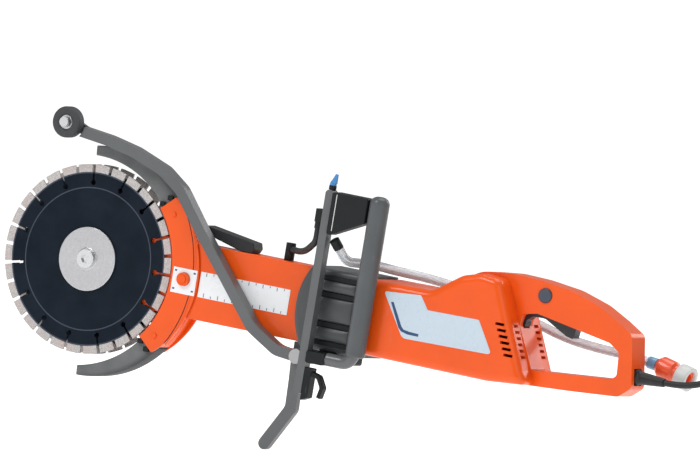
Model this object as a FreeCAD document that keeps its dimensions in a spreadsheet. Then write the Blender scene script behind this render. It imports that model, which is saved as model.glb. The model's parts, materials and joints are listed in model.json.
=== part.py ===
"""Twin-blade electric cut-off saw: belt-drive arm, gear case, motor body and handles.

The blades turn about the hub axis, which is parallel to Y. X runs rearward along the
saw, Z is up, and the saw's left side faces -Y. Outlines are drawn about the hub axis,
and "depth" counts from the middle plane towards -Y.
"""
import FreeCAD, Part
import math
import os
from FreeCAD import Placement, Rotation, Vector

SIZES = {
    # where the hub axis stands over the middle of the footprint
    "hub_x": -349.82, "hub_y": 3.99, "hub_z": 180.5,
    # diamond blades and hub
    "blade_radius": 115, "core_radius": 105.4, "core_thickness": 2.4, "core_depth": 9,
    "segment_thickness": 2.8, "slot_count": 15, "slot_bottom": 93, "slot_width": 2.6,
    "keyhole_radius": 3.4, "spindle_radius": 12, "spindle_play": 0.05,
    "flange_radius": 38.8, "flange_thickness": 2.6, "screw_radius": 11.3,
    # belt drive
    "pulley_radius": 28, "pulley_width": 8.8, "belt_width": 8, "belt_thickness": 3,
    "belt_play": 0.3, "drive_x": 346, "drive_radius": 20, "shaft_radius": 8,
    # arm and guard
    "arm_height": 46, "tongue_depth": 7, "arm_depth": 14, "arm_end": 366, "arm_step": 122,
    "belt_space": 33, "belt_space_depth": 5.4, "guard_inner": 119, "guard_outer": 157,
    "guard_end": 145, "guard_angle": 41, "guard_thickness": 3, "splash_width": 26,
    "guard_bolt_radius": 8,
    # gear case
    "case_front": 304, "case_back": 397.7, "case_depth": 40, "case_height": 49.5,
    "case_wall": 4.5, "case_inside": 46.4,
    # motor body and rear handle
    "body_front": 398, "body_depth": 45, "grip_depth": 17, "body_wall": 4,
    "body_round": 9, "grip_round": 7,
    # motor
    "motor_depth": 4, "stator_radius": 36, "rotor_radius": 23, "rotor_shaft_radius": 6,
    # front handle
    "leg_depth": 60, "front_leg_x": 340.5, "rear_leg_x": 407, "leg_top": 145,
    "sleeve_radius": 12, "sleeve_top": 148, "sleeve_bottom": -47, "tube_radius": 8,
    "leg_width": 10.5, "leg_thickness": 13,
    # guide lever and roller
    "pivot_x": 317, "pivot_z": -62, "pin_radius": 5, "lever_depth": 19.5, "lever_width": 16,
    "roller_x": -42.6, "roller_z": 160.4, "roller_radius": 19, "roller_width": 16,
    "roller_depth": 29.5,
    # water and power
    "hose_radius": 5.7, "feed_radius": 4, "cable_radius": 3.9, "plug_radius": 19,
    "button_x": 624, "button_z": 68, "button_radius": 8.8,
}

doc = FreeCAD.newDocument("cut_off_saw")
sheet = doc.addObject("Spreadsheet::Sheet", "Sizes")
for row, (alias, value) in enumerate(SIZES.items(), start=1):
    sheet.set("A%d" % row, alias)
    sheet.set("B%d" % row, str(value))
    sheet.setAlias("B%d" % row, alias)
doc.recompute()

subparts = []


def size(alias):
    """A driving dimension read back from the sheet."""
    return float(sheet.get(alias))


HUB = Vector(size("hub_x"), size("hub_y"), size("hub_z"))


def at(x, depth, z):
    """A point of the saw from its place along X, its depth and its height."""
    return Vector(x, -depth, z)


def polar(radius, degrees):
    """A point (x, z) at an angle about the hub axis."""
    return (radius * math.cos(math.radians(degrees)), radius * math.sin(math.radians(degrees)))


# ---- outlines -----------------------------------------------------------------


def rounded(points):
    """Edges of a closed outline; a point's third number rounds its corner."""
    corners = []
    count = len(points)
    for i, point in enumerate(points):
        here = Vector(point[0], point[1], 0)
        radius = point[2] if len(point) > 2 else 0
        if not radius:
            corners.append((here, None, here))
            continue
        before = Vector(*points[i - 1][:2], 0) - here
        after = Vector(*points[(i + 1) % count][:2], 0) - here
        half = before.getAngle(after) / 2
        reach = radius / math.tan(half)
        bisector = (before.normalize() + after.normalize()).normalize()
        middle = here + bisector * (radius / math.sin(half) - radius)
        corners.append((here + before * reach, middle, here + after * reach))
    edges = []
    for i, (start, middle, end) in enumerate(corners):
        if middle:
            edges.append(Part.Arc(start, middle, end))
        following = corners[(i + 1) % count][0]
        if (following - end).Length > 1e-6:
            edges.append(Part.LineSegment(end, following))
    return edges


def sector(inner, outer, inner_end, outer_end, first, last):
    """Edges of a ring sector; its radii run from a root to an end value."""
    middle = (first + last) / 2
    marks = [polar(inner[0], first), polar(inner[1], middle), polar(inner_end, last),
             polar(outer[0], first), polar(outer[1], middle), polar(outer_end, last)]
    a, b, c, d, e, f = [Vector(x, z, 0) for x, z in marks]
    return [Part.Arc(a, b, c), Part.LineSegment(c, f), Part.Arc(f, e, d), Part.LineSegment(d, a)]


def circle(x, z, radius):
    return [Part.Circle(Vector(x, z, 0), Vector(0, 0, 1), radius)]


# ---- PartDesign sub-parts -------------------------------------------------------


def new_body(label):
    """An empty body that stands on the hub axis."""
    body = doc.addObject("PartDesign::Body", label)
    body.Label = label
    for axis in "xyz":
        body.setExpression("Placement.Base." + axis, "Sizes.hub_" + axis)
    subparts.append(body)
    return body


def sketch_on(body, role, edges, depth=None):
    """A sketch on one of the body's own planes, moved off it by a depth."""
    sketch = body.newObject("Sketcher::SketchObject", "Outline")
    plane = [f for f in body.Origin.OriginFeatures if f.Role == role][0]
    sketch.AttachmentSupport = (plane, [""])
    sketch.MapMode = "FlatFace"
    if depth is not None:
        sketch.setExpression("AttachmentOffset.Base.z", depth)
    for edge in edges:
        sketch.addGeometry(edge, False)
    return sketch


def pad(body, edges, start, length, away=False):
    """Material from the depth `start`, `length` thick; both are expressions."""
    feature = body.newObject("PartDesign::Pad", "Pad")
    feature.Profile = sketch_on(body, "XZ_Plane", edges, start)
    feature.setExpression("Length", length)
    feature.Reversed = away
    doc.recompute()
    return feature


def pocket(body, edges, start, length, away=False):
    """A cut from the depth `start`, `length` deep; it has to take material away."""
    before = body.Shape.Volume
    feature = body.newObject("PartDesign::Pocket", "Pocket")
    feature.Profile = sketch_on(body, "XZ_Plane", edges, start)
    feature.setExpression("Length", length)
    feature.Reversed = not away
    doc.recompute()
    if body.Shape.Volume >= before:
        raise RuntimeError("a pocket in %s cuts nothing" % body.Label)
    return feature


def round_face(body, feature, depth, radius):
    """Round the outer edges of the face at one depth."""
    fillet = body.newObject("PartDesign::Fillet", "Rounding")
    names = []
    for i, edge in enumerate(feature.Shape.Edges, start=1):
        box = edge.BoundBox
        if abs(box.YMin + depth) < 1e-4 and abs(box.YMax + depth) < 1e-4:
            names.append("Edge%d" % i)
    fillet.Base = (feature, names)
    fillet.setExpression("Radius", radius)
    doc.recompute()
    return fillet


def plate(label, edges, start, length, away=False):
    """A flat sub-part of one outline."""
    body = new_body(label)
    pad(body, edges, start, length, away)
    return body


def turned(label, profile, centre=("0", "0"), direction=None, base=None):
    """A sub-part turned about Y, or about `direction`, from (radius, depth) points."""
    body = new_body(label)
    edges = rounded([(radius, -depth) for radius, depth in profile])
    sketch = sketch_on(body, "XY_Plane", edges)
    feature = body.newObject("PartDesign::Revolution", "Turning")
    feature.Profile = sketch
    feature.ReferenceAxis = (sketch, ["V_Axis"])
    feature.Angle = 360
    if direction:
        body.Placement = Placement(Vector(), Rotation(Vector(0, -1, 0), direction))
        for axis, offset in zip("xyz", base):
            body.setExpression("Placement.Base." + axis, "Sizes.hub_%s + (%s)" % (axis, offset))
    else:
        body.setExpression("Placement.Base.x", "Sizes.hub_x + " + centre[0])
        body.setExpression("Placement.Base.z", "Sizes.hub_z + " + centre[1])
    doc.recompute()
    return body


# ---- Part sub-parts ---------------------------------------------------------------


def solid(label, shapes):
    """A sub-part whose shape is worked out directly: a group or a tube."""
    feature = doc.addObject("Part::Feature", label)
    feature.Label = label
    feature.Shape = shapes[0] if len(shapes) == 1 else Part.makeCompound(shapes)
    feature.Placement = Placement(HUB, Rotation())
    subparts.append(feature)
    return feature


def disc(x, z, start, end, radius, bore=0):
    """A round solid between two depths, with an optional bore."""
    shape = Part.makeCylinder(radius, end - start, at(x, start, z), Vector(0, -1, 0))
    if bore:
        shape = shape.cut(Part.makeCylinder(bore, end - start, at(x, start, z), Vector(0, -1, 0)))
    return shape


def along_x(x, depth, z, length, radius, bore=0):
    """A round solid whose axis is parallel to X."""
    shape = Part.makeCylinder(radius, length, at(x, depth, z), Vector(1, 0, 0))
    if bore:
        shape = shape.cut(Part.makeCylinder(bore, length, at(x, depth, z), Vector(1, 0, 0)))
    return shape


def route_wire(points, name):
    """Straight runs joined by tangent arcs as large as the runs allow."""
    edges = []
    start = points[0]
    radii = []
    for before, here, after in zip(points, points[1:], points[2:]):
        back = before - here
        ahead = after - here
        half_turn = (math.pi - back.getAngle(ahead)) / 2
        reach = 0.45 * min(back.Length, ahead.Length)
        radius = reach / math.tan(half_turn)
        radii.append(round(radius, 1))
        back.normalize()
        ahead.normalize()
        first = here + back * reach
        last = here + ahead * reach
        bisector = (back + ahead).normalize()
        middle = here + bisector * (radius / math.cos(half_turn) - radius)
        edges.append(Part.LineSegment(start, first).toShape())
        edges.append(Part.Arc(first, middle, last).toShape())
        start = last
    edges.append(Part.LineSegment(start, points[-1]).toShape())
    print(name, "length", round(sum(edge.Length for edge in edges), 1), "radii", radii)
    return Part.Wire(edges)


def tube(label, points, radius):
    """A round tube along a route, with its volume compared with section times length."""
    wire = route_wire(points, label)
    start = points[0]
    section = Part.Wire(Part.makeCircle(radius, start, points[1] - start))
    shape = wire.makePipeShell([section], True, True)
    expected = math.pi * radius ** 2 * wire.Length
    if abs(shape.Volume / expected - 1) > 0.02:
        raise RuntimeError("%s has volume %.0f, not %.0f" % (label, shape.Volume, expected))
    return solid(label, [shape])


# ---- blades and hub ---------------------------------------------------------------


def blade(side, label):
    """Steel core with keyhole slots round its rim, and the diamond segments."""
    away = side < 0
    start = "%d * Sizes.core_depth" % side
    body = new_body("blade_core_" + label)
    core = pad(body, circle(0, 0, size("core_radius")) + circle(0, 0, size("spindle_radius")),
               start, "Sizes.core_thickness", away)
    half_slot = size("slot_width") / 2
    bottom = size("slot_bottom")
    half_pitch = 180 / size("slot_count")
    cuts = []
    for edges in (rounded([(bottom, -half_slot), (bottom + 20, -half_slot),
                           (bottom + 20, half_slot), (bottom, half_slot)]),
                  circle(bottom, 0, size("keyhole_radius"))):
        cuts.append(pocket(body, edges, start, "Sizes.core_thickness", away))
    pattern = body.newObject("PartDesign::PolarPattern", "Slots")
    pattern.Originals = cuts
    origin_axis = [f for f in body.Origin.OriginFeatures if f.Role == "Y_Axis"][0]
    pattern.Axis = (origin_axis, [""])
    pattern.Angle = 360
    pattern.setExpression("Occurrences", "Sizes.slot_count")
    body.Tip = pattern
    doc.recompute()
    middle = side * (size("core_depth") + size("core_thickness") / 2)
    half = size("segment_thickness") / 2
    segments = []
    for k in range(2 * int(size("slot_count"))):
        gap = 1.1
        outline = [Vector(x, 0, z) for x, z in (
            polar(size("core_radius"), k * half_pitch + gap),
            polar(size("core_radius"), (k + 1) * half_pitch - gap),
            polar(size("blade_radius"), (k + 1) * half_pitch - gap),
            polar(size("blade_radius"), k * half_pitch + gap))]
        inner, outer = [Vector(x, 0, z) for x, z in (
            polar(size("core_radius"), (k + 0.5) * half_pitch),
            polar(size("blade_radius"), (k + 0.5) * half_pitch))]
        wire = Part.Wire([Part.Arc(outline[0], inner, outline[1]).toShape(),
                          Part.makeLine(outline[1], outline[2]),
                          Part.Arc(outline[2], outer, outline[3]).toShape(),
                          Part.makeLine(outline[3], outline[0])])
        wire.translate(Vector(0, -middle + half, 0))
        segments.append(Part.Face(wire).extrude(Vector(0, -2 * half, 0)))
    return core, segments


def hub_group():
    """Blades, belt pulley, clamping flanges and screws: everything that spins at the front."""
    segments = []
    for side, label in ((1, "near"), (-1, "far")):
        segments += blade(side, label)[1]
    solid("blade_segments", segments)
    inner = size("core_depth")
    outer = inner + size("core_thickness")
    half_pulley = size("pulley_width") / 2
    shoulder = size("tongue_depth") + 0.5
    lip = size("pulley_radius")
    spindle = size("spindle_radius")
    spread = 19
    turned("hub_pulley", [
        (5, -outer), (spindle - 0.2, -outer), (spindle - 0.2, -inner), (spread, -inner),
        (spread, -shoulder), (spindle, -shoulder), (spindle, -half_pulley), (lip, -half_pulley),
        (lip, half_pulley), (spindle, half_pulley), (spindle, shoulder), (spread, shoulder),
        (spread, inner), (spindle - 0.2, inner), (spindle - 0.2, outer), (5, outer)])
    flange = size("flange_radius")
    thick = size("flange_thickness")
    flanges = []
    for side in (1, -1):
        start, end = sorted((side * outer, side * (outer + thick)))
        ring = disc(0, 0, start, end, flange, 5.3)
        step, rim = sorted((side * (outer + thick), side * (outer + thick + 0.9)))
        ring = ring.fuse(disc(0, 0, step, rim, size("screw_radius") + 2, 5.3))
        flanges.append(ring.removeSplitter())
    solid("hub_flanges", flanges)
    screws = []
    face = outer + thick + 0.9
    head = 4
    for side in (1, -1):
        start, end = sorted((side * face, side * (face + head)))
        shape = disc(0, 0, start, end, size("screw_radius"))
        shank_start, shank_end = sorted((side * 1.0, side * face))
        shape = shape.fuse(disc(0, 0, shank_start, shank_end, 4.95))
        corners = [polar(5.5, 60 * k) for k in range(7)]
        socket = [Vector(x, -side * (face + head), z) for x, z in corners]
        cut = Part.Face(Part.makePolygon(socket)).extrude(Vector(0, side * 3, 0))
        screws.append(shape.cut(cut))
    solid("hub_screws", screws)


# ---- belt drive -------------------------------------------------------------------


def belt_loop(extra):
    """The belt's closed line round both pulleys, `extra` outside their rims."""
    large = size("pulley_radius") + extra
    small = size("drive_radius") + extra
    centre = size("drive_x")
    angle = math.degrees(math.acos((large - small) / centre))
    top, bottom = polar(large, angle), polar(large, -angle)
    rear_top = (centre + polar(small, angle)[0], polar(small, angle)[1])
    rear_bottom = (rear_top[0], -rear_top[1])
    a, b, c, d = [Vector(x, z, 0) for x, z in (top, bottom, rear_bottom, rear_top)]
    return [Part.Arc(a, Vector(-large, 0, 0), b), Part.LineSegment(b, c),
            Part.Arc(c, Vector(centre + small, 0, 0), d), Part.LineSegment(d, a)]


def belt_drive():
    inner = belt_loop(size("belt_play"))
    outer = belt_loop(size("belt_play") + size("belt_thickness"))
    plate("drive_belt", inner + outer, "-Sizes.belt_width / 2", "Sizes.belt_width")
    half = size("pulley_width") / 2
    shaft = size("shaft_radius")
    at_drive = ("Sizes.drive_x", "0")
    rim = size("drive_radius")
    turned("drive_pulley", [(0, -13), (shaft, -13), (shaft, -half), (rim, -half), (rim, half),
                            (shaft, half), (shaft, 35), (0, 35)], at_drive)
    # the cone of the large bevel gear opens towards the motor shaft's axis
    turned("bevel_gear", [(shaft, 15.5), (24, 15.5), (30, 18.3), (31, 19.5), (31, 24),
                          (14, 24), (14, 27), (shaft, 27)], at_drive)
    play = size("spindle_play")
    hub_bore = size("spindle_radius") + play
    shaft_bore = shaft + play
    drive = size("drive_x")
    solid("drive_bearings", [disc(0, 0, 4.9, 6.9, 19.9, hub_bore),
                             disc(0, 0, -6.9, -4.9, 19.9, hub_bore),
                             disc(drive, 0, 6, 12.8, 15.9, shaft_bore),
                             disc(drive, 0, -12.8, -6, 15.9, shaft_bore),
                             disc(drive, 0, 28.5, 35, 15.9, shaft_bore)]
          + [along_x(x, size("motor_depth"), 0, 9, 13, size("rotor_shaft_radius") + play)
             for x in (420, 532)])


# ---- arm and guard ----------------------------------------------------------------


def arm_half(side, label):
    """One half of the belt arm: thin between the blades, thick behind them."""
    away = side < 0
    height = size("arm_height")
    step = size("arm_step")
    body = new_body("arm_%s_half" % label)
    tongue = [Part.Arc(Vector(0, height, 0), Vector(-height, 0, 0), Vector(0, -height, 0)),
              Part.LineSegment(Vector(0, -height, 0), Vector(step + 20, -height, 0)),
              Part.LineSegment(Vector(step + 20, -height, 0), Vector(step + 20, height, 0)),
              Part.LineSegment(Vector(step + 20, height, 0), Vector(0, height, 0))]
    pad(body, tongue, "0", "Sizes.tongue_depth", away)
    pad(body, rounded([(step, -height), (size("arm_end"), -height), (size("arm_end"), height),
                       (step, height)]), "0", "Sizes.arm_depth", away)
    yoke = sector((120.5, 120.5), (146, 150), 120.5, 146, -37, 37)
    pad(body, yoke, "0", "Sizes.arm_depth", away)
    space = size("belt_space")
    pocket(body, [Part.Arc(Vector(0, space, 0), Vector(-space, 0, 0), Vector(0, -space, 0)),
                  Part.LineSegment(Vector(0, -space, 0), Vector(size("arm_end") + 1, -space, 0)),
                  Part.LineSegment(Vector(size("arm_end") + 1, -space, 0),
                                   Vector(size("arm_end") + 1, space, 0)),
                  Part.LineSegment(Vector(size("arm_end") + 1, space, 0), Vector(0, space, 0))],
           "0", "Sizes.belt_space_depth", away)
    pocket(body, circle(0, 0, 20), "0", "Sizes.tongue_depth", away)
    pocket(body, circle(size("drive_x"), 0, 16), "0", "Sizes.arm_depth", away)
    return body


def arm_and_guard():
    for side, label in ((1, "left"), (-1, "right")):
        arm_half(side, label)
        guard = sector((size("guard_inner"),) * 2, (size("guard_end"), size("guard_outer")),
                       size("guard_inner"), size("guard_end"), -size("guard_angle"),
                       size("guard_angle"))
        plate("guard_plate_" + label, guard, "%d * Sizes.arm_depth" % side,
              "Sizes.guard_thickness", side < 0)
    face = size("arm_depth") + size("guard_thickness")
    bolts = []
    for side in (1, -1):
        start, end = sorted((side * face, side * (face + 5)))
        big = disc(138, 0, start, end, size("guard_bolt_radius"))
        start, end = sorted((side * (face + 5), side * (face + 6.5)))
        bolts.append(big.fuse(disc(138, 0, start, end, 5)))
        for angle in (34, -34):
            x, z = polar(133, angle)
            start, end = sorted((side * face, side * (face + 1.6)))
            bolts.append(disc(x, z, start, end, 3))
    solid("guard_bolts", bolts)
    width = "Sizes.splash_width"
    plate("upper_splash_guard", sector((121, 123), (146, 143), 126, 138, 37.6, 95),
          "-Sizes.splash_width / 2", width)
    plate("lower_splash_guard", sector((121, 124), (146, 144), 129, 141, -37.6, -86),
          "-Sizes.splash_width / 2", width)
    label_thick = 0.5
    scale = [Part.makeBox(282 - 158, label_thick, 31), Part.makeBox(33, label_thick, 31)]
    scale[0].translate(at(158.5, size("arm_depth") + label_thick, -18))
    scale[1].translate(at(122, face + label_thick, -18))
    scale[1] = scale[1].cut(disc(138, 0, face, face + 2, size("guard_bolt_radius") + 0.4))
    solid("scale_label", scale)
    plate("arm_top_flap", rounded([(150, 60), (205, 46.2), (220, 46.2), (223, 52), (221, 59),
                                   (152, 69)]), "-12", "24")


# ---- gear case and motor ----------------------------------------------------------


COVER_WINDOWS = ((-37, -19), (-14, 17), (22, 37))


def case_outline(inset_x, height):
    front = size("case_front") + inset_x
    back = size("case_back") - inset_x
    shoulder = front + 15
    return [Part.Arc(Vector(shoulder, height, 0), Vector(front, 0, 0), Vector(shoulder, -height, 0)),
            Part.LineSegment(Vector(shoulder, -height, 0), Vector(back, -height, 0)),
            Part.LineSegment(Vector(back, -height, 0), Vector(back, height, 0)),
            Part.LineSegment(Vector(back, height, 0), Vector(shoulder, height, 0))]


def gear_case():
    wall = size("case_wall")
    inside = size("case_inside")
    front = size("case_front")
    back = size("case_back")
    for side, label in ((1, "left"), (-1, "right")):
        away = side < 0
        body = new_body("gear_case_" + label)
        outer = pad(body, case_outline(0, size("case_height")), "0", "Sizes.case_depth", away)
        round_face(body, outer, side * size("case_depth"), "5")
        pocket(body, case_outline(wall, inside - 2), "0", "Sizes.case_depth - Sizes.case_wall", away)
        # the arm comes in through the front, and the motor shaft through the back
        pocket(body, rounded([(front - 2, -inside), (size("arm_end") + 3, -inside),
                              (size("arm_end") + 3, inside), (front - 2, inside)]),
               "0", "Sizes.arm_depth + 0.3", away)
        pocket(body, rounded([(back - wall - 1, -20), (back + 1, -20), (back + 1, 20),
                              (back - wall - 1, 20)]), "0", "24", away)
    cover = new_body("gear_cover")
    pad(cover, rounded([(326, -42, 10), (326, 42, 10), (392, 42, 10), (392, -42, 10)]),
        "Sizes.case_depth", "4")
    for low, high in COVER_WINDOWS:
        pocket(cover, rounded([(331, low, 4), (331, high, 4), (387, high, 4), (387, low, 4)]),
               "Sizes.case_depth + 2", "4")


def motor():
    """Universal motor along X: stator, rotor, fan and the pinion on its shaft."""
    depth = size("motor_depth")
    shaft = size("rotor_shaft_radius")
    stator = along_x(436, depth, 0, 66, size("stator_radius"), size("rotor_radius") + 1)
    solid("motor_stator", [stator])
    spindle = along_x(370, depth, 0, 178, shaft - 0.02)
    solid("rotor_shaft", [spindle.fuse(along_x(506, depth, 0, 16, 13)).removeSplitter()])
    core = along_x(438, depth, 0, 62, size("rotor_radius"), shaft)
    for k in range(12):
        angle = 2 * math.pi * k / 12
        groove = Part.makeBox(62, 2.4, 6, Vector(438, -1.2, size("rotor_radius") - 4))
        groove.rotate(Vector(), Vector(1, 0, 0), math.degrees(angle))
        groove.translate(at(0, depth, 0))
        core = core.cut(groove)
    solid("rotor_core", [core])
    solid("motor_brushes", [Part.makeBox(10, 8, 14, at(509, depth + 4, z)) for z in (14, -28)])
    fan = along_x(404, depth, 0, 3, 33, shaft)
    for k in range(11):
        vane = Part.makeBox(9, 2, 18, Vector(406.9, -1, 13))
        vane.rotate(Vector(), Vector(1, 0, 0), 360 * k / 11)
        vane.translate(at(0, depth, 0))
        fan = fan.fuse(vane)
    solid("cooling_fan", [fan.fuse(along_x(404, depth, 0, 11, 10, shaft)).removeSplitter()])
    pinion = Part.makeCone(11.1 - 0.15, 13.9 - 0.15, 6, at(370, depth, 0), Vector(1, 0, 0))
    pinion = pinion.fuse(along_x(376, depth, 0, 9, 13.75)).cut(along_x(369, depth, 0, 17, shaft))
    solid("bevel_pinion", [pinion.removeSplitter()])


# ---- motor body and rear handle ---------------------------------------------------

OPENING = [(596, 28, 6), (598, 41, 6), (617, 45, 8), (719, 28, 6), (733, 19, 6), (735, -9, 5),
           (728, -14, 4), (622, -23, 5)]
WIDE = [(398, -43.5, 4), (398, 47.5, 4), (484, 48.5, 30), (522, 74, 30), (548, 81, 20), (574, 78, 14),
        (593, 34, 10), (620, -24, 8), (631, -40, 6), (575, -44.5, 40)]
WIDE_INSIDE = [(402, -39), (402, 43), (484, 44), (520, 68), (566, 73), (588, 32), (612, -22),
               (606, -38), (560, -40)]
GRIP = [(500, -44), (500, 56, 10), (533, 81.5, 40), (575, 86, 60), (612, 85, 60), (656, 80, 60),
        (695, 69, 60), (724, 55, 30), (747, 42, 10), (757, -20, 8), (741, -33, 10), (675, -38, 40),
        (575, -44)]
VENT_ROWS = 6
TRIGGER_AXIS = (604, 46)
TRIGGER_STUB = 3


def vent_edge(z):
    """The rear edge of the wide part of the body at a height."""
    return 593 + (30 - z) * 0.5


def body_half(side, label):
    away = side < 0
    body = new_body("body_shell_" + label)
    wide = pad(body, rounded(WIDE), "0", "Sizes.body_depth", away)
    round_face(body, wide, side * size("body_depth"), "Sizes.body_round")
    pad(body, rounded(GRIP) + rounded(OPENING), "0", "Sizes.grip_depth", away)
    pocket(body, rounded(WIDE_INSIDE), "0", "Sizes.body_depth - Sizes.body_wall", away)
    pocket(body, rounded([(390, -20), (406, -20), (406, 20), (390, 20)]), "0", "24", away)
    # inside the grip: the switch space, the trigger's slot and the cable's seat
    pocket(body, rounded([(560, 50), (664, 50), (664, 66), (560, 66)]), "0", "12", away)
    pocket(body, rounded([(591, 24), (590, 56), (672, 52), (672, 24)]), "0", "8.2", away)
    pocket(body, circle(*TRIGGER_AXIS, TRIGGER_STUB + size("spindle_play")), "0", "10", away)
    pocket(body, rounded([(742, -17), (770, -17), (770, 3), (742, 3)]), "0", "10", away)
    depth = "%d * (Sizes.body_depth - 10)" % side
    for k in range(VENT_ROWS):
        z = 26 - 7 * k
        edge = vent_edge(z)
        slot = rounded([(edge - 17, z - 1.7), (edge - 5, z - 1.7), (edge - 5, z + 1.7), (edge - 17, z + 1.7)])
        pocket(body, slot, depth, "10", away)
        rear = rounded([(edge - 8, z - 1.7), (edge + 8, z - 1.7), (edge + 8, z + 1.7), (edge - 8, z + 1.7)])
        pocket(body, rear, "%d * (Sizes.grip_depth + 4)" % side, "11", away)
    if side > 0:
        pocket(body, circle(size("button_x"), size("button_z"), size("button_radius") + 0.3),
               "0", "Sizes.grip_depth", away)
    return body


def motor_body():
    body_half(1, "left")
    body_half(-1, "right")
    plate("side_label", rounded([(424, 37, 2), (474, 41, 2), (486, 25, 3), (556, 26, 3), (580, -12, 3),
                                 (458, -14, 9)]), "Sizes.body_depth", "0.4")
    screws = []
    for x, z in ((420, -34), (560, 68), (560, -36), (700, 54), (742, 32), (700, -28)):
        face = -size("body_depth") if x < 600 else -size("grip_depth")
        screws.append(disc(x, z, face - 1.2, face, 3.6, 1.6))
    solid("shell_screws", screws)


def switch_and_trigger():
    plate("switch_unit", rounded([(566, 51), (598, 51), (598, 65), (566, 65)]), "-11", "22")
    trigger = plate("trigger", rounded([(592.5, 26), (593.5, 40, 8), (606, 50.5, 3), (668, 42, 2),
                                        (665, 22.5, 2), (655, 24.5, 4), (624, 40, 10), (607, 40, 6),
                                        (599.5, 34, 4), (598.5, 26)]), "-7", "14")
    pad(trigger, circle(*TRIGGER_AXIS, TRIGGER_STUB), "-9.6", "19.2")
    turned("lock_button", [(0, 9), (size("button_radius") - 1, 9), (size("button_radius") - 1, 14),
                           (size("button_radius"), 14), (size("button_radius"), 18.6),
                           (size("button_radius") - 1.4, 20), (0, 20)],
           ("Sizes.button_x", "Sizes.button_z"))


# ---- front handle -----------------------------------------------------------------


def front_handle():
    half = size("leg_width") / 2
    leg = size("front_leg_x")
    top = size("leg_top")
    plate("handle_front_leg", rounded([(leg - half, -103, 5), (leg - half, top, 5), (leg + half, top, 5),
                                       (leg + half, -103, 5)]),
          "Sizes.leg_depth - Sizes.leg_thickness / 2", "Sizes.leg_thickness")
    rear = size("rear_leg_x")
    depth = size("leg_depth")
    route = [at(rear, depth, 128), at(rear, depth, -40), at(399, depth, -56), at(371, depth, -56)]
    core = tube("handle_tube", route, size("tube_radius")).Shape.copy()
    core.translate(HUB * -1)
    radius = size("sleeve_radius")
    bottom = size("sleeve_bottom")
    sleeve = Part.makeCylinder(radius, size("sleeve_top") - bottom, at(rear, depth, bottom))
    for height, rounding in ((size("sleeve_top"), radius - 2.5), (bottom, 3)):
        rims = [edge for edge in sleeve.Edges if edge.BoundBox.ZLength < 1e-3
                and abs(edge.BoundBox.ZMin - height) < 1e-3]
        sleeve = sleeve.makeFillet(rounding, rims)
    solid("handle_sleeve", [sleeve.cut(core)])
    beside = leg + half + 0.2
    behind = rear - radius - 0.2
    block = new_body("handle_block")
    solid_block = pad(block, rounded([(beside, 90, 3), (beside, 143.5, 3), (behind, 143.5, 2),
                                      (behind, 113, 2)]), "Sizes.leg_depth - 9.5", "19")
    round_face(block, solid_block, depth + 9.5, "1.5")
    plate("handle_lower_bar", rounded([(beside, -64, 3), (beside, -49.8), (370.8, -49.8), (370.8, -64, 3)]),
          "-30", "Sizes.leg_depth + 39")


# ---- guide lever ------------------------------------------------------------------

LEVER = [(-18, 150), (14, 147.5), (51, 140), (95, 124.5), (122, 106), (160, 60), (248, -39), (286, -60)]


def ribbon(points, width, round_inside):
    """Outline of a flat bar of even width that follows a line of points."""
    left, right = [], []
    for i, point in enumerate(points):
        here = Vector(*point, 0)
        before = (here - Vector(*points[i - 1], 0)).normalize() if i else None
        after = (Vector(*points[i + 1], 0) - here).normalize() if i < len(points) - 1 else None
        along = (before or after) + (after or before)
        along.normalize()
        across = Vector(-along.y, along.x, 0)
        spread = width / 2 / (across.dot(Vector(-(after or before).y, (after or before).x, 0)))
        ends = i in (0, len(points) - 1)
        corner = 0 if ends else round_inside
        left.append((here.x + across.x * spread, here.y + across.y * spread, corner))
        right.append((here.x - across.x * spread, here.y - across.y * spread, corner))
    return rounded(left + right[::-1])


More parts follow.
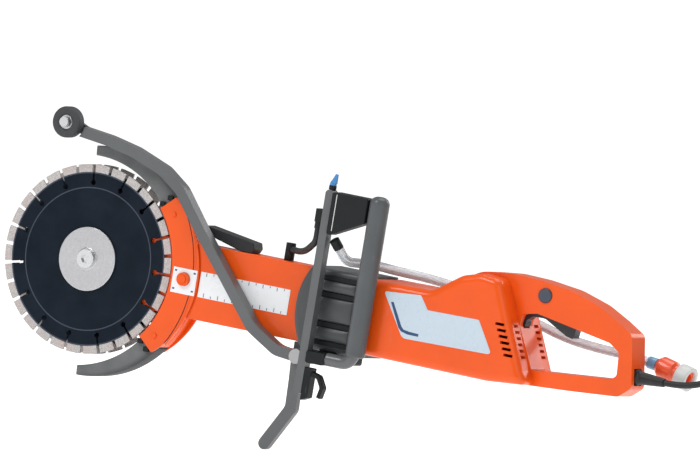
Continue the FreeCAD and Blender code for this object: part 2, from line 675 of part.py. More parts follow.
def guide_lever():
    roller = Vector(size("roller_x"), size("roller_z"), 0)
    pivot = (size("pivot_x"), size("pivot_z"))
    body = new_body("guide_lever")
    line = [(roller.x + 14, roller.y - 8)] + LEVER[1:] + [(pivot[0], pivot[1] - 1)]
    pad(body, ribbon(line, 13, 30), "Sizes.lever_depth", "Sizes.lever_width")
    # at the roller the bar is cut down to a thin ear that carries the axle
    pad(body, ribbon([(roller.x - 1, roller.y), (roller.x + 20, roller.y - 8.6)], 12, 0),
        "Sizes.lever_depth", "6")
    pad(body, circle(roller.x, roller.y, 7), "Sizes.lever_depth", "6")
    pocket(body, circle(roller.x, roller.y, size("roller_radius") + 3), "Sizes.lever_depth + 6", "20")
    pad(body, circle(pivot[0], pivot[1], 10), "Sizes.lever_depth", "Sizes.lever_width")
    # below the pivot the lever goes on as a flatter foot with a round toe
    foot = [(314.5, -66), (316, -92), (317, -126), (289, -173)]
    pad(body, ribbon(foot, 15, 12), "Sizes.lever_depth + 3", "9")
    pad(body, circle(foot[-1][0], foot[-1][1], 7.5), "Sizes.lever_depth + 3", "9")
    pocket(body, circle(pivot[0], pivot[1], size("pin_radius") + size("spindle_play")),
           "Sizes.lever_depth", "Sizes.lever_width")
    pocket(body, circle(roller.x, roller.y, 3), "Sizes.lever_depth", "6")
    start = size("lever_depth")
    roller_near = size("roller_depth") + size("roller_width")
    axle = disc(roller.x, roller.y, start - 3, roller_near + 1, 3)
    axle = axle.fuse(disc(roller.x, roller.y, roller_near + 1, roller_near + 4, 6))
    axle = axle.fuse(disc(roller.x, roller.y, start - 3, start, 5.5))
    solid("roller_axle", [axle.removeSplitter()])
    near = size("roller_depth")
    place = ("Sizes.roller_x", "Sizes.roller_z")
    bore = 3 + size("spindle_play")
    turned("roller_hub", [(bore, near), (9, near), (9, near + 14), (bore, near + 14)], place)
    radius = size("roller_radius")
    turned("roller_tyre", [(9, near), (radius - 3, near), (radius, near + 3), (radius, near + 13),
                           (radius - 1, near + 14.6), (radius - 3, near + 15.6), (11, near + 16),
                           (9, near + 15)], place)
    plate("lever_bracket", rounded([(301, -46.4), (301, -62, 6), (309, -70, 6), (325, -70, 6),
                                    (333, -62, 6), (333, -50.3), (318, -50.3), (310, -46.4)]),
          "3", "Sizes.lever_depth - 4.5")
    pin = disc(*pivot, start - 1.5, start + size("lever_width") + 1, size("pin_radius"))
    pin = pin.fuse(disc(*pivot, start + size("lever_width") + 1, start + size("lever_width") + 5, 9))
    solid("lever_pivot_bolt", [pin.removeSplitter()])
    clip = new_body("lever_clip")
    beside = size("front_leg_x") + size("leg_width") / 2 + 0.2
    pad(clip, rounded([(beside, -70), (355, -70), (355, -106), (beside, -110)]),
        "Sizes.leg_depth - 8", "14")
    pad(clip, ribbon([(352, -76), (364, -79), (371, -91), (368, -104)], 5, 5),
        "Sizes.leg_depth - 6", "10")


# ---- water and power --------------------------------------------------------------


def water_kit():
    depth = size("leg_depth")
    leg = size("front_leg_x")
    top = size("leg_top")
    collar = Part.makeCylinder(4.6, 5, at(leg, depth, top), Vector(0, 0, 1))
    front = leg - size("leg_width") / 2
    outlet = Part.makeBox(9, 12, 16, at(front - 9, depth + 6, 104))
    spout_x = front - 5.3
    spout = Part.makeCylinder(5, 8.1, at(spout_x, depth, 96), Vector(0, 0, 1))
    solid("tap_body", [collar, outlet.fuse(spout)])
    knob = Part.makeCone(4.4, 3.4, 5, at(leg, depth, top + 5.4), Vector(0, 0, 1))
    lever = Part.makeCone(4.2, 1.8, 11, at(leg + 1, depth, top + 8.4), Vector(0.22, 0, 1))
    knob = knob.fuse(lever)
    solid("tap_knob", [knob.removeSplitter()])
    # feed hose from the tap's outlet over the arm, down to the blades
    feed = [at(spout_x, depth, 95.9), at(spout_x, depth, 80), at(310, 42, 66), at(290, 20, 61),
            at(270, 2, 60)]
    tube("feed_hose", feed, size("feed_radius"))
    inward = feed[-1] - feed[-2]
    barb = Part.makeCylinder(5, 9, feed[-1] + inward.normalize() * 0.1, inward)
    post = feed[-1] + inward * 8
    elbow = Part.makeCylinder(6, 21, Vector(post.x, post.y, 46.2), Vector(0, 0, 1))
    solid("feed_nozzle", [barb.fuse(elbow)])
    joint = Part.makeCylinder(6.2, 12, at(353, depth - 2, 86), Vector(0.35, 0.5, -0.7))
    solid("hose_joint", [joint])


def supply_and_cable():
    side = -52.5
    start = at(353, size("leg_depth") - 2, 86)
    direction = Vector(0.35, 0.5, -0.7).normalize()
    exit_point = start + direction * 12
    route = [exit_point, exit_point + direction * 20, at(383, 4, 62), at(398, -32, 57),
             at(428, side, 54.5), at(478, side - 2, 50), at(532, side - 2, 38), at(584, side - 1, 27),
             at(630, -42, 18), at(676, -31, 15), at(722, -29, 14), at(752, -29, 11)]
    tube("supply_hose", route, size("hose_radius"))
    ahead = (route[-1] - route[-2]).normalize()
    end = route[-1]
    turn = Vector(0.975, -0.06, -0.2).normalize()
    base = [str(round(v, 3)) for v in end]
    turned("hose_collar", [(0, 0.1), (7.5, 0.1), (7.5, 11), (0, 11)], direction=ahead, base=base)
    body_at = end + ahead * 13
    base = [str(round(v, 3)) for v in body_at]
    turned("connector_body", [(0, 0), (9, 0), (13, 5), (13, 22.5), (10, 25.5), (10, 44), (6, 44),
                              (6, 26), (0, 26)], direction=turn, base=base)
    sleeve_at = body_at + turn * 30.6
    base = [str(round(v, 3)) for v in sleeve_at]
    turned("connector_sleeve", [(10.05, 0), (14, 0), (15, 4), (15, 17), (10.05, 17)],
           direction=turn, base=base)
    relief_at = at(744, 0, -7)
    reach = 47
    base = [str(round(v, 3)) for v in relief_at]
    turned("strain_relief", [(0, 0), (9.6, 0), (9.6, 12.5), (8, 14.5), (5.2, reach), (0, reach)],
           direction=Vector(1, 0, 0), base=base)
    cable_start = relief_at + Vector(reach, 0, 0)
    floor = -HUB.z + size("cable_radius") + 0.2
    cable = [cable_start, at(819, 0, -7), at(854, -2, 7), at(890, -5, 6), at(916, -10, -22),
             at(930, -16, -64), at(937, -24, -108), at(938, -42, -148), at(926, -72, floor),
             at(900, -102, floor), at(866, -116, floor + 2), at(834, -118, floor + 13),
             at(806, -112, floor + 15)]
    tube("power_cable", cable, size("cable_radius"))
    heading = (cable[-1] - cable[-2]).normalize()
    base = [str(round(v, 3)) for v in cable[-1]]
    radius = size("plug_radius")
    turned("cable_plug", [(0, 0.05), (6, 0.05), (8, 16), (radius - 3, 20), (radius - 1, 24),
                          (radius - 1, 50), (0, 50)], direction=heading, base=base)
    pins = []
    across = Vector(0, 0, 1).cross(heading).normalize()
    for offset in (9.5, -9.5):
        foot = cable[-1] + heading * 50.1 + across * offset
        pins.append(Part.makeCylinder(2.4, 19, foot, heading))
    solid("plug_pins", pins)


hub_group()
belt_drive()
arm_and_guard()
gear_case()
motor()
motor_body()
switch_and_trigger()
front_handle()
guide_lever()
water_kit()
supply_and_cable()
doc.recompute()

for item in doc.Objects:
    for flag in ("Invalid", "Error"):
        if flag in item.State:
            raise RuntimeError("%s (%s) is %s" % (item.Label, item.TypeId, flag))
os.makedirs("parts", exist_ok=True)
for item in subparts:
    if item.Shape.isNull() or not item.Shape.isValid():
        raise RuntimeError(item.Label + " has no valid shape")
    item.Shape.exportStep("parts/%s.step" % item.Label)
print(len(subparts), "sub-parts")
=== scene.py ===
"""Looks of the twin-blade electric cut-off saw: materials, printed and moulded detail,
the power cable, the studio light and the camera."""
import json
import math
import bmesh
import bpy
from mathutils import Matrix, Vector


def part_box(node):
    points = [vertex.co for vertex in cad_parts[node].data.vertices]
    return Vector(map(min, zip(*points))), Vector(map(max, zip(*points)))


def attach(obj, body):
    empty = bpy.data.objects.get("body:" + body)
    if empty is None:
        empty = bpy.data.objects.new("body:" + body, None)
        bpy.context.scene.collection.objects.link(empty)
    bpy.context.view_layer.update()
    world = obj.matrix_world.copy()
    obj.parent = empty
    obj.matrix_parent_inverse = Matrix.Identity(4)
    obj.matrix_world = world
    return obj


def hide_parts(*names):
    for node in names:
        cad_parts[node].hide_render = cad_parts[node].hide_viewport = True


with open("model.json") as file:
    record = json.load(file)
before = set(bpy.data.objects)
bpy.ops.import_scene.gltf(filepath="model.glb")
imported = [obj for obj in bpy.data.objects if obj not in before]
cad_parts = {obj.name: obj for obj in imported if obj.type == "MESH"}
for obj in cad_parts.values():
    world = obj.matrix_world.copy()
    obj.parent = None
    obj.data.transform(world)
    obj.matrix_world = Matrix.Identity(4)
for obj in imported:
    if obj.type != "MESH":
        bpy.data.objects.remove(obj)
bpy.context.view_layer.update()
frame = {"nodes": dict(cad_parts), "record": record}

JOINTS = {joint["name"]: joint for joint in frame["record"]["behaviour"]["joints"]}
HUB = Vector(JOINTS["blade_spin"]["pos_m"])
SLOTS = {row["node"]: row["material_slot"] for row in frame["record"]["subparts"]}
MM = 0.001


def at(x, depth, z):
    """A point given in millimetres from the hub axis; depth counts towards the saw's left."""
    return HUB + Vector((x, -depth, z)) * MM


def near_face(node):
    """Depth in millimetres of a node's left face."""
    return (HUB.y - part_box(node)[0][1]) / MM


# ---- camera ---------------------------------------------------------------------


VIEW_WIDTH = 0.8475      # metres across the picture at the hub
LENS = 800
SENSOR_WIDTH = 36
VIEW_ROLL = 1.5          # degrees
FLANGE_DEPTH = 14        # millimetres


def camera():
    """A far camera with a long lens, so that the saw is seen almost without perspective."""
    back = Vector((0.463, -0.883, 0.072)).normalized()
    flat_right = Vector((0.8725, 0.469, 0.1359)).normalized()
    flat_up = back.cross(flat_right).normalized()
    roll = math.radians(VIEW_ROLL)
    right = flat_right * math.cos(roll) + flat_up * math.sin(roll)
    up = back.cross(right)
    centre = at(0, FLANGE_DEPTH, 0) + flat_right * 0.3218 + flat_up * 0.0374
    data = bpy.data.cameras.new("camera")
    data.lens = LENS
    data.sensor_width = SENSOR_WIDTH
    data.clip_end = 120
    holder = bpy.data.objects.new("camera", data)
    distance = VIEW_WIDTH * LENS / SENSOR_WIDTH
    matrix = Matrix((right, up, back)).transposed().to_4x4()
    matrix.translation = centre + back * distance
    holder.matrix_world = matrix
    bpy.context.scene.collection.objects.link(holder)
    bpy.context.scene.camera = holder


# ---- power cable ----------------------------------------------------------------

CABLE_RADIUS = 0.0039
CABLE = [(0.791, 0, -0.007), (0.819, 0, -0.007), (0.854, -0.002, 0.007), (0.890, -0.005, 0.006),
         (0.916, -0.010, -0.022), (0.930, -0.016, -0.064), (0.937, -0.024, -0.108),
         (0.938, -0.042, -0.148), (0.926, -0.072, -0.1764), (0.900, -0.102, -0.1764),
         (0.866, -0.116, -0.1744), (0.834, -0.118, -0.1634), (0.806, -0.112, -0.1614)]


def power_cable():
    """The mains cable, through the same route points as the CAD's cable."""
    points = [HUB + Vector((x, -depth, z)) for x, depth, z in CABLE]
    curve = bpy.data.curves.new("power_lead", "CURVE")
    curve.dimensions = "3D"
    curve.bevel_depth = 1.0  # a unit circle, which each point's radius scales
    curve.bevel_resolution = 6
    curve.resolution_u = 12
    curve.use_fill_caps = True
    spline = curve.splines.new("NURBS")
    spline.points.add(len(points) - 1)
    for point, place in zip(spline.points, points):
        point.co = (*place, 1)
        point.radius = CABLE_RADIUS
    spline.order_u = 3
    spline.use_endpoint_u = True
    lead = bpy.data.objects.new("power_lead", curve)
    bpy.context.scene.collection.objects.link(lead)
    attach(lead, "frame")
    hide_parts("power_cable")
    return lead


# ---- materials --------------------------------------------------------------------


class Shader:
    """One procedural material with short names for the nodes it needs."""

    def __init__(self, name, roughness=0.5, metallic=0.0, specular=0.5, coat=0.0):
        self.material = bpy.data.materials.new(name)
        self.material.use_nodes = True
        self.tree = self.material.node_tree
        self.shader = self.tree.nodes["Principled BSDF"]
        self.shader.inputs["Roughness"].default_value = roughness
        self.shader.inputs["Metallic"].default_value = metallic
        self.shader.inputs["Specular IOR Level"].default_value = specular
        self.shader.inputs["Coat Weight"].default_value = coat
        self.shader.inputs["Coat Roughness"].default_value = 0.12
        self.place = self.node("ShaderNodeTexCoord").outputs["Object"]

    def node(self, kind, **settings):
        node = self.tree.nodes.new(kind)
        for name, value in settings.items():
            setattr(node, name, value)
        return node

    def join(self, output, target):
        self.tree.links.new(output, target)

    def math(self, operation, first, second=None, third=None):
        node = self.node("ShaderNodeMath", operation=operation)
        for socket, value in zip(node.inputs, (first, second, third)):
            if value is None:
                continue
            if isinstance(value, (int, float)):
                socket.default_value = value
            else:
                self.join(value, socket)
        return node.outputs[0]

    def noise(self, scale, detail=4.0, roughness=0.55, stretch=None):
        node = self.node("ShaderNodeTexNoise")
        node.inputs["Scale"].default_value = scale
        node.inputs["Detail"].default_value = detail
        node.inputs["Roughness"].default_value = roughness
        source = self.place
        if stretch:
            mapping = self.node("ShaderNodeMapping")
            mapping.inputs["Scale"].default_value = stretch
            self.join(source, mapping.inputs["Vector"])
            source = mapping.outputs["Vector"]
        self.join(source, node.inputs["Vector"])
        return node.outputs["Fac"]

    def ramp(self, factor, stops):
        node = self.node("ShaderNodeValToRGB")
        elements = node.color_ramp.elements
        while len(elements) < len(stops):
            elements.new(0.5)
        for element, (position, colour) in zip(elements, stops):
            element.position = position
            element.color = (*colour, 1)
        self.join(factor, node.inputs["Fac"])
        return node.outputs["Color"]

    def mix(self, factor, first, second):
        node = self.node("ShaderNodeMix", data_type="RGBA")
        self.join(factor, node.inputs["Factor"])
        for socket, value in ((node.inputs[6], first), (node.inputs[7], second)):
            if isinstance(value, tuple):
                socket.default_value = (*value, 1)
            else:
                self.join(value, socket)
        return node.outputs[2]

    def colour(self, output):
        self.join(output, self.shader.inputs["Base Color"])

    def roughness(self, factor, low, high):
        node = self.node("ShaderNodeMapRange")
        node.inputs["To Min"].default_value = low
        node.inputs["To Max"].default_value = high
        self.join(factor, node.inputs["Value"])
        self.join(node.outputs["Result"], self.shader.inputs["Roughness"])

    def bump(self, height, distance, strength=0.5):
        node = self.node("ShaderNodeBump")
        node.inputs["Distance"].default_value = distance
        node.inputs["Strength"].default_value = strength
        self.join(height, node.inputs["Height"])
        self.join(node.outputs["Normal"], self.shader.inputs["Normal"])

    def from_hub(self):
        """Distance from the hub axis, in metres."""
        shift = self.node("ShaderNodeVectorMath", operation="SUBTRACT")
        shift.inputs[1].default_value = HUB
        self.join(self.place, shift.inputs[0])
        flat = self.node("ShaderNodeVectorMath", operation="MULTIPLY")
        flat.inputs[1].default_value = (1, 0, 1)
        self.join(shift.outputs[0], flat.inputs[0])
        length = self.node("ShaderNodeVectorMath", operation="LENGTH")
        self.join(flat.outputs[0], length.inputs[0])
        return length.outputs["Value"]

    def band(self, value, centre, half_width):
        """1 where a value is within half_width of a centre, else 0."""
        return self.math("COMPARE", value, centre, half_width)


def tinted(colour, amount):
    return tuple(channel * amount for channel in colour)


def moulded(name, colour, rough, grain, depth, coat=0.0, specular=0.5, spread=0.08):
    """Moulded or painted surface: slow colour drift, small scuffs and a fine grain."""
    surface = Shader(name, specular=specular, coat=coat)
    drift = surface.noise(14, 3)
    base = surface.ramp(drift, [(0.3, tinted(colour, 1 - spread)), (0.7, tinted(colour, 1 + spread))])
    scuffs = surface.noise(160, 6, 0.7, (1, 1, 0.25))
    mask = surface.ramp(scuffs, [(0.63, (0, 0, 0)), (0.72, (0.35, 0.35, 0.35))])
    worn = tuple(channel * 0.6 + 0.12 for channel in colour)
    surface.colour(surface.mix(mask, base, worn))
    surface.roughness(surface.noise(60, 5), *rough)
    surface.bump(surface.noise(grain, 3, 0.6), depth, 0.4)
    return surface.material


def orange_material(name, coat, grain, depth):
    return moulded(name, (0.80, 0.092, 0.006), (0.24, 0.38), grain, depth, coat, 0.25, 0.06)


RING_RADIUS = 0.0865
CORE_EDGE = 0.1046


def blade_material():
    """Dark coated steel, with a turned ring and a lighter line along the core's edge."""
    surface = Shader("blade_coat", specular=0.1)
    radius = surface.from_hub()
    drift = surface.noise(30, 5)
    base = surface.ramp(drift, [(0.3, (0.004, 0.008, 0.015)), (0.7, (0.008, 0.014, 0.023))])
    ring = surface.band(radius, RING_RADIUS, 0.0007)
    edge = surface.band(radius, CORE_EDGE, 0.0009)
    marks = surface.math("MAXIMUM", ring, edge)
    lit = surface.math("MULTIPLY", marks, 0.5)
    surface.colour(surface.mix(lit, base, (0.10, 0.12, 0.16)))
    surface.roughness(surface.noise(90, 6), 0.38, 0.56)
    waves = surface.math("SINE", surface.math("MULTIPLY", radius, 9000))
    groove = surface.math("MULTIPLY", ring, -3)
    surface.bump(surface.math("ADD", waves, groove), 0.00003, 0.35)
    return surface.material


def segment_material():
    surface = Shader("diamond_segment", metallic=0.35, specular=0.5)
    grit = surface.noise(1500, 8, 0.7)
    base = surface.ramp(grit, [(0.38, (0.26, 0.24, 0.23)), (0.5, (0.50, 0.47, 0.46)),
                               (0.66, (0.72, 0.70, 0.69))])
    tint = surface.ramp(surface.noise(70, 2), [(0.45, (0, 0, 0)), (0.75, (0.35, 0.35, 0.35))])
    surface.colour(surface.mix(tint, base, (0.55, 0.36, 0.31)))
    surface.roughness(grit, 0.5, 0.78)
    surface.bump(grit, 0.0003, 0.6)
    return surface.material


RING_FREQUENCY = 5200   # radians per metre


def turned_metal(name, colour, rough):
    """Bright metal with fine rings round the hub axis."""
    surface = Shader(name, metallic=1.0)
    radius = surface.from_hub()
    waves = surface.math("SINE", surface.math("MULTIPLY", radius, RING_FREQUENCY))
    fine = surface.noise(420, 6, 0.7)
    height = surface.math("ADD", surface.math("MULTIPLY", waves, 0.6), fine)
    surface.colour(surface.ramp(fine, [(0.3, tinted(colour, 0.86)), (0.7, tinted(colour, 1.08))]))
    surface.roughness(surface.noise(200, 5), *rough)
    surface.bump(height, 0.00005, 0.5)
    return surface.material


def brushed(name, colour, rough):
    """Bright metal with lines drawn out along one axis."""
    surface = Shader(name, metallic=1.0)
    lines = surface.noise(260, 6, 0.7, (1, 1, 40))
    surface.colour(surface.ramp(lines, [(0.3, tinted(colour, 0.8)), (0.7, tinted(colour, 1.1))]))
    surface.roughness(lines, *rough)
    surface.bump(lines, 0.00004, 0.4)
    return surface.material


# radii over which the painted shade on the splash guard's outer rim comes in
RIM_SHADE_START = 0.1375
RIM_SHADE_END = 0.1445


def splash_material():
    """Grey rubber, with painted shade darkening the guard's outer rim."""
    surface = Shader("splash_rubber", specular=0.35)
    radius = surface.from_hub()
    drift = surface.noise(40, 5)
    base = surface.ramp(drift, [(0.3, (0.105, 0.110, 0.112)), (0.7, (0.150, 0.155, 0.157))])
    rim = surface.node("ShaderNodeMapRange")
    rim.inputs["From Min"].default_value = RIM_SHADE_START
    rim.inputs["From Max"].default_value = RIM_SHADE_END
    surface.join(radius, rim.inputs["Value"])
    # painted shade: the colour darkens towards the outer rim
    surface.colour(surface.mix(rim.outputs["Result"], base, (0.055, 0.058, 0.060)))
    surface.roughness(surface.noise(110, 5), 0.55, 0.8)
    surface.bump(surface.noise(700, 5, 0.65), 0.0002, 0.5)
    return surface.material


def rubber(name, colour, grain=900, rough=(0.5, 0.75)):
    return moulded(name, colour, rough, grain, 0.00015, 0.0, 0.35, 0.12)


def clear_hose():
    surface = Shader("clear_hose", roughness=0.18, specular=0.5)
    threads = surface.noise(900, 2, 0.5, (0.15, 1, 1))
    surface.colour(surface.ramp(threads, [(0.35, (0.62, 0.66, 0.70)), (0.65, (0.86, 0.88, 0.90))]))
    surface.shader.inputs["Transmission Weight"].default_value = 0.55
    surface.shader.inputs["IOR"].default_value = 1.4
    surface.roughness(surface.noise(200, 3), 0.12, 0.3)
    surface.bump(threads, 0.0002, 0.3)
    return surface.material


def winding():
    surface = Shader("winding", metallic=0.6)
    stack = surface.node("ShaderNodeTexWave")
    stack.inputs["Scale"].default_value = 160
    stack.inputs["Distortion"].default_value = 0.6
    surface.join(surface.place, stack.inputs["Vector"])
    lines = stack.outputs["Fac"]
    surface.colour(surface.ramp(lines, [(0.2, (0.22, 0.08, 0.03)), (0.8, (0.55, 0.24, 0.10))]))
    surface.roughness(lines, 0.35, 0.6)
    surface.bump(lines, 0.0003, 0.6)
    return surface.material


def label_film(name, colour):
    return moulded(name, colour, (0.22, 0.34), 500, 0.00002, 0.25, 0.5, 0.03)


def all_materials():
    return {
        "orange_shell": orange_material("orange_shell", 0.2, 1700, 0.00004),
        "orange_metal": orange_material("orange_paint", 0.2, 900, 0.00005),
        "orange_bolt": orange_material("orange_bolt", 0.1, 700, 0.00008),
        "grey_rubber": splash_material(),
        "lever_grey": moulded("lever_paint", (0.098, 0.104, 0.108), (0.28, 0.44), 1100, 0.00008, 0.15),
        "roller_rubber": rubber("roller_rubber", (0.045, 0.048, 0.052)),
        "grip_rubber": rubber("grip_rubber", (0.088, 0.096, 0.101), 1500, (0.28, 0.42)),
        "case_black": moulded("case_black", (0.012, 0.014, 0.015), (0.4, 0.6), 900, 0.0001, 0.0, 0.2),
        "case_grey": moulded("case_grey", (0.060, 0.066, 0.070), (0.34, 0.52), 500, 0.00018),
        "tube_steel": moulded("leg_paint", (0.098, 0.104, 0.109), (0.28, 0.42), 1100, 0.00008, 0.2),
        "blade_steel": blade_material(),
        "segment_grit": segment_material(),
        "flange_metal": turned_metal("flange_metal", (0.56, 0.56, 0.58), (0.26, 0.4)),
        "bright_steel": brushed("bright_steel", (0.70, 0.71, 0.72), (0.2, 0.36)),
        "screw_steel": brushed("screw_steel", (0.45, 0.45, 0.46), (0.3, 0.5)),
        "belt_rubber": rubber("belt_rubber", (0.02, 0.02, 0.02)),
        "copper_winding": winding(),
        "label_white": label_film("label_white", (0.78, 0.80, 0.82)),
        "label_blue": label_film("label_blue", (0.50, 0.60, 0.68)),
        "trigger_black": moulded("trigger_black", (0.016, 0.018, 0.022), (0.25, 0.4), 1200, 0.00006),
        "button_slate": moulded("button_slate", (0.045, 0.06, 0.085), (0.3, 0.45), 900, 0.00008),
        "knob_blue": moulded("knob_blue", (0.06, 0.24, 0.55), (0.25, 0.4), 900, 0.00006, 0.2),
        "collar_blue": moulded("collar_blue", (0.16, 0.38, 0.60), (0.25, 0.4), 900, 0.00006, 0.2),
        "hose_clear": clear_hose(),
        "hose_black": rubber("hose_black", (0.016, 0.017, 0.019), 700, (0.4, 0.6)),
        "connector_red": moulded("connector_red", (0.83, 0.085, 0.02), (0.25, 0.4), 900, 0.00008, 0.2),
        "connector_grey": moulded("connector_grey", (0.58, 0.59, 0.58), (0.35, 0.5), 900, 0.00008),
        "cable_black": rubber("cable_black", (0.014, 0.015, 0.017), 800, (0.38, 0.55)),
        "print_blue": moulded("print_blue", (0.015, 0.06, 0.16), (0.25, 0.4), 600, 0.00002),
    }


# ---- mesh pieces --------------------------------------------------------------------


def finish_piece(name, mesh, body, material, smooth=True):
    piece = bpy.data.objects.new(name, mesh)
    bpy.context.scene.collection.objects.link(piece)
    mesh.materials.append(material)
    for face in mesh.polygons:
        face.use_smooth = smooth
    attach(piece, body)
    return piece


def soften(piece, width):
    """Rounded edges that catch the light."""
    weld = piece.modifiers.new("Weld", "WELD")
    weld.merge_threshold = 1e-6
    bevel = piece.modifiers.new("Edges", "BEVEL")
    bevel.width = width
    bevel.segments = 3
    bevel.limit_method = "ANGLE"
    bevel.angle_limit = math.radians(35)
    bevel.harden_normals = True
    bevel.use_clamp_overlap = True


def prism(name, outline, start, thickness, body, material, edge=0.0):
    """A thin moulded or printed shape: (x, z) outlines in millimetres, from a depth outward."""
    mesh = bpy.data.meshes.new(name)
    build = bmesh.new()
    outlines = outline if isinstance(outline[0][0], (list, tuple)) else [outline]
    for line in outlines:
        front = [build.verts.new(at(x, start + thickness, z)) for x, z in line]
        back = [build.verts.new(at(x, start, z)) for x, z in line]
        build.faces.new(front)
        build.faces.new(back[::-1])
        for i in range(len(line)):
            j = (i + 1) % len(line)
            build.faces.new((front[j], front[i], back[i], back[j]))
    bmesh.ops.recalc_face_normals(build, faces=build.faces)
    build.to_mesh(mesh)
    build.free()
    piece = finish_piece(name, mesh, body, material, smooth=False)
    if edge:
        soften(piece, edge)


def polar(distance, degrees):
    """A point (x, z) at an angle about the hub axis."""
    return distance * math.cos(math.radians(degrees)), distance * math.sin(math.radians(degrees))


def arc_strip(radius, width, first, last, steps):
    """Outline of a thin arc round the hub axis, in degrees."""
    def ring(distance, order):
        return [polar(distance, first + (last - first) * k / steps) for k in order]
    return ring(radius + width / 2, range(steps + 1)) + ring(radius - width / 2, range(steps, -1, -1))


def bar(x0, z0, x1, z1):
    """Outline of an upright rectangle."""
    return [(x0, z0), (x1, z0), (x1, z1), (x0, z1)]


FILM = 0.12              # thickness of print, millimetres
LABEL_LIFT = 0.5         # label's face in front of the part under it
TICKS = 12
TICK_START = 166
TICK_PITCH = 9.8
TICK_WIDTH = 0.9
SCALE_TOP = 13
SCALE_BOTTOM = -17.4


def printed_detail(looks):
    """Ticks of the depth scale, marks on the guard's label and the side label's stripe."""
    blue = looks["print_blue"]
    arm_label = near_face("arm_left_half") + LABEL_LIFT
    guard_label = near_face("guard_plate_left") + LABEL_LIFT
    ticks = []
    for k in range(TICKS):
        x = TICK_START + TICK_PITCH * k
        length = 5 if k % 2 == 0 else 3
        ticks.append(bar(x, SCALE_TOP - length, x + TICK_WIDTH, 12.4))
        ticks.append(bar(x, SCALE_BOTTOM, x + TICK_WIDTH, SCALE_BOTTOM + length))
    prism("scale_ticks", ticks, arm_label, FILM, "frame", blue)
    corners = [bar(124, 8, 127, 10), bar(150, 8, 153, 10), bar(124, -14, 127, -12),
               bar(150, -14, 153, -12)]
    prism("guard_ticks", corners, guard_label, FILM, "frame", blue)
    stripe = [(435.5, 26), (439, 26.5), (454.5, 0), (458, -3.5), (466, -4.8), (479, -5.4), (479, -8.6),
              (464, -8.4), (455, -6.2), (451, -2.6)]
    prism("label_stripe", stripe, near_face("side_label"), FILM, "frame", blue)


GUARD_SPAN = 33          # degrees above and below the arm
GUARD_STEPS = 48


def guard_detail(looks):
    """A dark strip painted as the shade in the guard plate's groove, a bead along the plate, and the
    clips at its ends.
    """
    face = near_face("guard_plate_left")
    # painted shade: a thin dark film where the groove's shade falls
    groove = arc_strip(149, 1.0, -GUARD_SPAN, GUARD_SPAN, GUARD_STEPS)
    bead = arc_strip(151.4, 1.6, -GUARD_SPAN, GUARD_SPAN, GUARD_STEPS)
    prism("guard_groove_shade", groove, face, 0.15, "frame", looks["case_black"])
    prism("guard_bead", bead, face, 0.35, "frame", looks["orange_metal"], 0.0002)
    clips = []
    for angle in (42.6, -42.6):
        for distance in (124, 137):
            x, z = polar(distance, angle)
            clips.append(bar(x - 3.5, z - 3, x + 3.5, z + 3))
    prism("guard_clips", clips, 13.05, 3.6, "frame", looks["case_black"], 0.0006)


COVER_WINDOWS = ((-37, -19), (-14, 17), (22, 37))
WINDOW_SIDES = (331.5, 386.5)
WINDOW_GAP = 0.6
PANEL_CROWN = 3.2
PANEL_DEPTH = 1.9


def crowned_panel(name, low, high, looks):
    """A bulged panel behind one window of the gear cover."""
    mesh = bpy.data.meshes.new(name)
    build = bmesh.new()
    left, right = WINDOW_SIDES
    columns, rows = 16, 12
    start = near_face("gear_cover") - PANEL_DEPTH
    grid = []
    for i in range(rows + 1):
        v = i / rows
        line = []
        for j in range(columns + 1):
            u = j / columns
            bulge = PANEL_CROWN * (math.sin(math.pi * v) ** 0.6) * (math.sin(math.pi * u) ** 0.25)
            place = at(left + (right - left) * u, start + bulge, low + (high - low) * v)
            line.append(build.verts.new(place))
        grid.append(line)
    for i in range(rows):
        for j in range(columns):
            build.faces.new((grid[i][j], grid[i][j + 1], grid[i + 1][j + 1], grid[i + 1][j]))
    bmesh.ops.recalc_face_normals(build, faces=build.faces)
    build.to_mesh(mesh)
    build.free()
    panel = finish_piece(name, mesh, "frame", looks["case_grey"])
    thick = panel.modifiers.new("Wall", "SOLIDIFY")
    thick.thickness = 0.001


def case_detail(looks):
    """Panels in the gear cover's windows, and a light grey strip painted as a highlight along the seam
    in the front handle's block.
    """
    for k, (low, high) in enumerate(COVER_WINDOWS):
        crowned_panel("case_panel_%d" % (k + 1), low + WINDOW_GAP, high - WINDOW_GAP, looks)
    block = near_face("handle_block")
    # painted highlight: a light grey film along the block's seam
    prism("block_seam_highlight", bar(352.5, 97, 353.6, 141), block, 0.3, "frame",
          looks["connector_grey"], 0.0001)


# ---- stage and light ----------------------------------------------------------------


FLOOR_HALF = 60
FLOOR_GLOW = 0.88
WORLD_STRENGTH = 0.32
LIGHT_TARGET = Vector((0, 0, 0.15))
LIGHTS = (("key", (-1.2, -2.2, 2.4), 1.2, 46), ("fill", (2.2, -1.8, 1.3), 1.8, 12),
          ("top", (0.2, 0.4, 2.6), 1.6, 30), ("rim", (1.0, 2.4, 1.6), 1.4, 20))


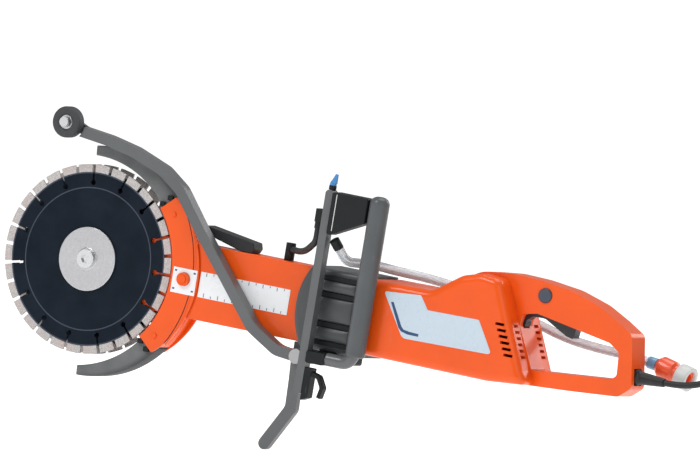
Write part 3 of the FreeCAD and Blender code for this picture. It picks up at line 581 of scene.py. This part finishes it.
def studio():
    """A white floor wider than any view, and soft lights given as name, place, width, power."""
    floor = bpy.data.meshes.new("floor")
    half = FLOOR_HALF
    floor.from_pydata([(-half, -half, 0), (half, -half, 0), (half, half, 0), (-half, half, 0)], [],
                      [(0, 1, 2, 3)])
    plane = bpy.data.objects.new("floor", floor)
    bpy.context.scene.collection.objects.link(plane)
    pale = Shader("floor_paint", roughness=0.9, specular=0.1)
    shade = pale.ramp(pale.noise(0.7, 2), [(0.3, (0.50, 0.50, 0.50)), (0.7, (0.53, 0.53, 0.53))])
    pale.colour(shade)
    pale.shader.inputs["Emission Color"].default_value = (1, 1, 1, 1)
    pale.shader.inputs["Emission Strength"].default_value = FLOOR_GLOW
    floor.materials.append(pale.material)
    world = bpy.data.worlds.new("studio")
    bpy.context.scene.world = world
    world.use_nodes = True
    world.node_tree.nodes["Background"].inputs["Color"].default_value = (1, 1, 1, 1)
    world.node_tree.nodes["Background"].inputs["Strength"].default_value = WORLD_STRENGTH
    for name, place, width, power in LIGHTS:
        data = bpy.data.lights.new(name, "AREA")
        data.size = width
        data.energy = power
        lamp = bpy.data.objects.new(name, data)
        lamp.location = place
        lamp.rotation_euler = (LIGHT_TARGET - Vector(place)).to_track_quat("-Z", "Y").to_euler()
        bpy.context.scene.collection.objects.link(lamp)
    bpy.context.scene.view_settings.view_transform = "Standard"


# ---- put together -------------------------------------------------------------------

# width of the rounded edges, in millimetres
SOFT_EDGES = {
    "guard_plate_left": 0.8, "guard_plate_right": 0.8, "guide_lever": 2.2, "handle_front_leg": 2.6,
    "handle_lower_bar": 1.5, "upper_splash_guard": 2.0, "lower_splash_guard": 2.0, "arm_top_flap": 1.5,
    "guard_bolts": 0.7, "hub_flanges": 0.5, "hub_screws": 0.5, "blade_segments": 0.3,
    "gear_cover": 0.8, "trigger": 1.8, "lever_clip": 1.0, "lever_bracket": 1.0, "roller_axle": 0.6,
    "lever_pivot_bolt": 0.8, "tap_knob": 0.8, "tap_body": 0.8, "connector_body": 0.8,
    "connector_sleeve": 0.7, "hose_collar": 0.6, "strain_relief": 0.6, "feed_nozzle": 0.8,
    "arm_left_half": 0.8, "arm_right_half": 0.8, "roller_hub": 0.6, "cable_plug": 1.0,
}


def dress(looks):
    """Gives each CAD node the material of its slot, and rounds the edges of some."""
    for node, piece in frame["nodes"].items():
        material = looks[SLOTS[node]]
        if piece.material_slots:
            for place in piece.material_slots:
                place.material = material
        else:
            piece.data.materials.append(material)
        if node in SOFT_EDGES:
            soften(piece, SOFT_EDGES[node] * MM)


camera()
LOOKS = all_materials()
lead = power_cable()
lead.data.materials.append(LOOKS["cable_black"])
dress(LOOKS)
printed_detail(LOOKS)
guard_detail(LOOKS)
case_detail(LOOKS)
studio()

bpy.context.view_layer.update()
